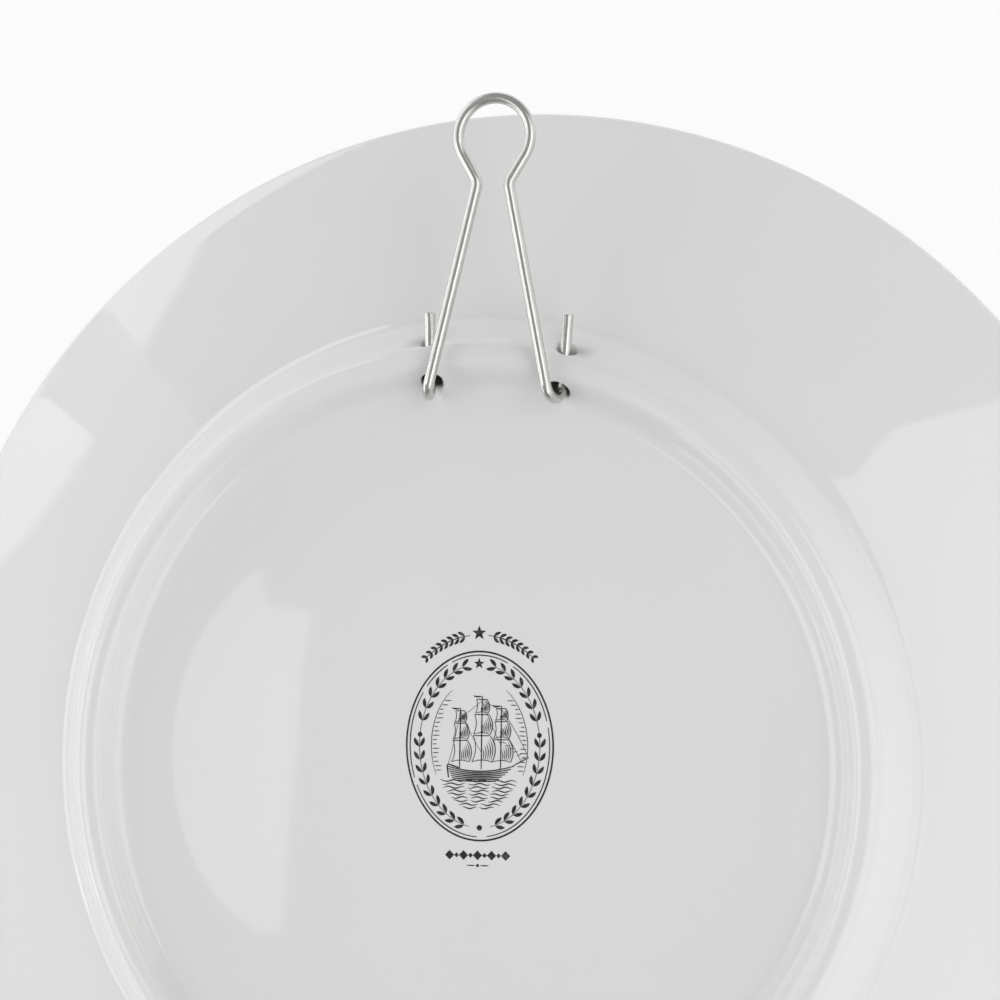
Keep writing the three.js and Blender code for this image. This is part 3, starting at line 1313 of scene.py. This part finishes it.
def standing(middle: Vector, across: Vector, up: Vector, back: Vector) -> Matrix:
    """The placing of a lamp or camera at a point, by its three directions."""
    return Matrix.Translation(middle) @ Matrix((across, up, back)).transposed().to_4x4()


@dataclass(frozen=True)
class SoftBox:
    """A flat soft light between two opposite corners, which faces the plate.

    One of the three spans is nothing, and that is the way in which the light faces.
    """

    name: str
    corner: Point3
    opposite: Point3
    radiance: float
    roll: float = 0.0

    def build(self) -> None:
        """Hangs the light, rolled about the way in which it faces."""
        low, high = Vector(self.corner), Vector(self.opposite)
        middle, span = (low + high) / 2, high - low
        flat = 1e-6
        level = abs(span.z) < flat
        across = ALONG_X if level else ALONG_Y
        up = ALONG_Y if level else ALONG_Z
        back = across.cross(up)
        if back.dot(middle) < 0:
            across, back = -across, -back
        lamp = bpy.data.lights.new(self.name, "AREA")
        lamp.shape = "RECTANGLE"
        lamp.size = abs(span.dot(across))
        lamp.size_y = abs(span.dot(up))
        lamp.energy = self.radiance * math.pi * lamp.size * lamp.size_y
        light = bpy.data.objects.new(self.name, lamp)
        roll = Matrix.Rotation(self.roll, 4, "Z")
        light.matrix_world = standing(middle, across, up, back) @ roll
        light.visible_camera = False
        bpy.context.scene.collection.objects.link(light)


@dataclass
class Studio:
    """The table, the lights and the camera."""

    eye: Point3 = (0.1474, 0.03707, 0.47975)
    backward: Point3 = (0.30425, -0.03258, 0.95204)
    upward: Point3 = (-0.07572, 0.99543, 0.05827)
    lens_mm: float = 86.4
    film_mm: float = 36.0
    table_half_width: float = 6.0
    table_gap: float = 0.2 * MM
    overhead: float = 0.485
    horizon: float = 0.34
    dim_below: float = 0.28
    bright_above: float = 0.40
    background: float = 0.97
    boxes: tuple[SoftBox, ...] = (
        SoftBox("left_softbox", (-2.6, -0.9, 2.0), (-0.92, 0.04, 2.0), 1.35),
        SoftBox("left_low_panel", (-3.0, -3.2, 0.02), (-3.0, 0.2, 0.80), 1.85),
        SoftBox(
            "left_back_panel", (-3.0, -1.26, -0.08), (-3.0, 4.44, 1.22), 1.85,
            roll=-math.radians(18.3),
        ),
        SoftBox("left_middle_panel", (-3.0, -3.2, 0.80), (-3.0, 1.6, 1.9), 0.5),
        SoftBox("left_high_panel", (-3.0, -1.5, 1.9), (-3.0, 2.2, 4.4), 0.85),
        SoftBox("right_softbox", (1.08, -3.2, 2.0), (3.6, 1.61, 2.0), 1.55),
        SoftBox("right_panel", (3.6, -5.0, 0.3), (3.6, 3.6, 1.5), 1.0),
    )

    def build(self) -> None:
        """Sets up everything around the plate."""
        self._lay_table()
        self._fill_room()
        for box in self.boxes:
            box.build()
        self._aim_camera()
        bpy.context.scene.view_settings.view_transform = "Standard"

    def _lay_table(self) -> None:
        """Lays the table top just under the rim."""
        bpy.ops.object.select_all(action="DESELECT")
        place = (0, 0, -self.table_gap)
        bpy.ops.mesh.primitive_plane_add(size=2 * self.table_half_width, location=place)
        table = newest("table_top")
        settle_in_mesh(table)
        LitTable().sheet().dress(table)

    def _fill_room(self) -> None:
        """Fills the room with soft light, dimmer near the horizon, before a near-white backdrop."""
        world = bpy.data.worlds.new("studio_room")
        room = Wiring(world)
        way = room.node("ShaderNodeTexCoord").outputs["Generated"]
        height = room.node("ShaderNodeSeparateXYZ", inputs={0: way}).outputs["Z"]
        levels = {
            "Value": height,
            "From Min": self.dim_below,
            "From Max": self.bright_above,
            "To Min": self.horizon,
            "To Max": self.overhead,
        }
        settings = {"interpolation_type": "SMOOTHSTEP"}
        light = room.output("ShaderNodeMapRange", settings, levels, "Result")
        seen = room.node("ShaderNodeLightPath").outputs["Is Camera Ray"]
        shares = {"Factor": seen, "A": light, "B": self.background}
        strength = room.output("ShaderNodeMix", {"data_type": "FLOAT"}, shares, "Result")
        glow = room.node("ShaderNodeBackground", inputs={"Strength": strength})
        room.node("ShaderNodeOutputWorld", inputs={"Surface": glow.outputs["Background"]})
        bpy.context.scene.world = world

    def _aim_camera(self) -> None:
        """Places the camera over the plate."""
        camera_data = bpy.data.cameras.new("camera")
        camera_data.lens = self.lens_mm
        camera_data.sensor_width = self.film_mm
        camera_data.clip_start = 0.01
        camera = bpy.data.objects.new("camera", camera_data)
        back, up = Vector(self.backward).normalized(), Vector(self.upward)
        right = up.cross(back).normalized()
        up = back.cross(right)
        camera.matrix_world = standing(Vector(self.eye), right, up, back)
        bpy.context.scene.collection.objects.link(camera)
        bpy.context.scene.camera = camera


# ------------------------------------------------------------------------------------------
# Putting it together
# ------------------------------------------------------------------------------------------


def place_on(piece: bpy.types.Object, body: Body, slot: Slot, finish: Sheet) -> None:
    """Dresses a piece and hangs it on its body.

    Args:
        piece: The piece.
        body: The body that it moves with.
        slot: The record's material slot.
        finish: Its finish.
    """
    finish.dress(piece)
    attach(piece, body.value)
    faces = len(piece.data.polygons)
    log.info("%s: %d faces, rides on %s, finish %s", piece.name, faces, body.value, slot.value)


def main() -> None:
    """Builds the plate, the hanger and the emblem around the frame."""
    logging.basicConfig(level=logging.INFO, format="%(message)s")
    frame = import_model()
    hinge = Vector(frame["joints"][0]["pos_m"])

    plate = Plate()
    shell = plate.build()
    glaze = PorcelainGlaze().sheet()
    place_on(shell, Body.PLATE, Slot.PORCELAIN, glaze)
    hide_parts("plate")

    wire = WireHanger().build(hinge)
    steel = DrawnSteel().sheet()
    place_on(wire, Body.HANGER, Slot.STEEL, steel)
    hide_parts("wire_hanger")

    ink = FiredPrint().sheet()
    for print_piece in Emblem(plate).build():
        place_on(print_piece, Body.PLATE, Slot.PRINT, ink)

    for node in frame["nodes"].values():
        (glaze if node.name == "plate" else steel).dress(node)

    Studio().build()


if __name__ == "__main__":
    main()
